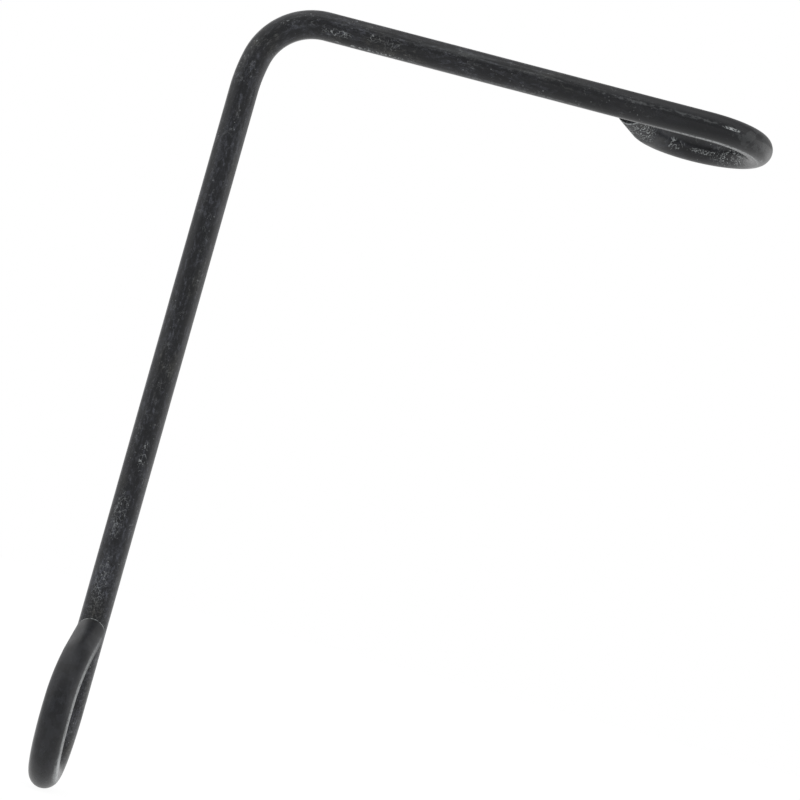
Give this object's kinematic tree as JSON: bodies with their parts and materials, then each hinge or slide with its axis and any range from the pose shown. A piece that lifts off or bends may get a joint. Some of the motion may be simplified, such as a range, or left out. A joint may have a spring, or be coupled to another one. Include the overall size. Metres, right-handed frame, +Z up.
{
  "type": "shutter dog holdback",
  "caption": "Black bent-bar shutter holdback: round steel bar in an L, with an eye rolled at each end for a wall pin and a shutter pin.",
  "frame": {"origin": "centre of the wall eye's hole", "axes": "+X along the wall eye's axis and out along the short arm, +Z up the long arm, +Y away from the side the wall eye curls to"},
  "size_m": [0.1507, 0.0748, 0.2244],
  "materials": {
    "black_steel": "satin black, with fine pale scuffs along the bar"
  },
  "bodies": {
    "root": {"wall_eye": "black_steel", "long_arm": "black_steel", "corner_bend": "black_steel", "short_arm": "black_steel", "shutter_eye": "black_steel"}
  },
  "joints": []
}
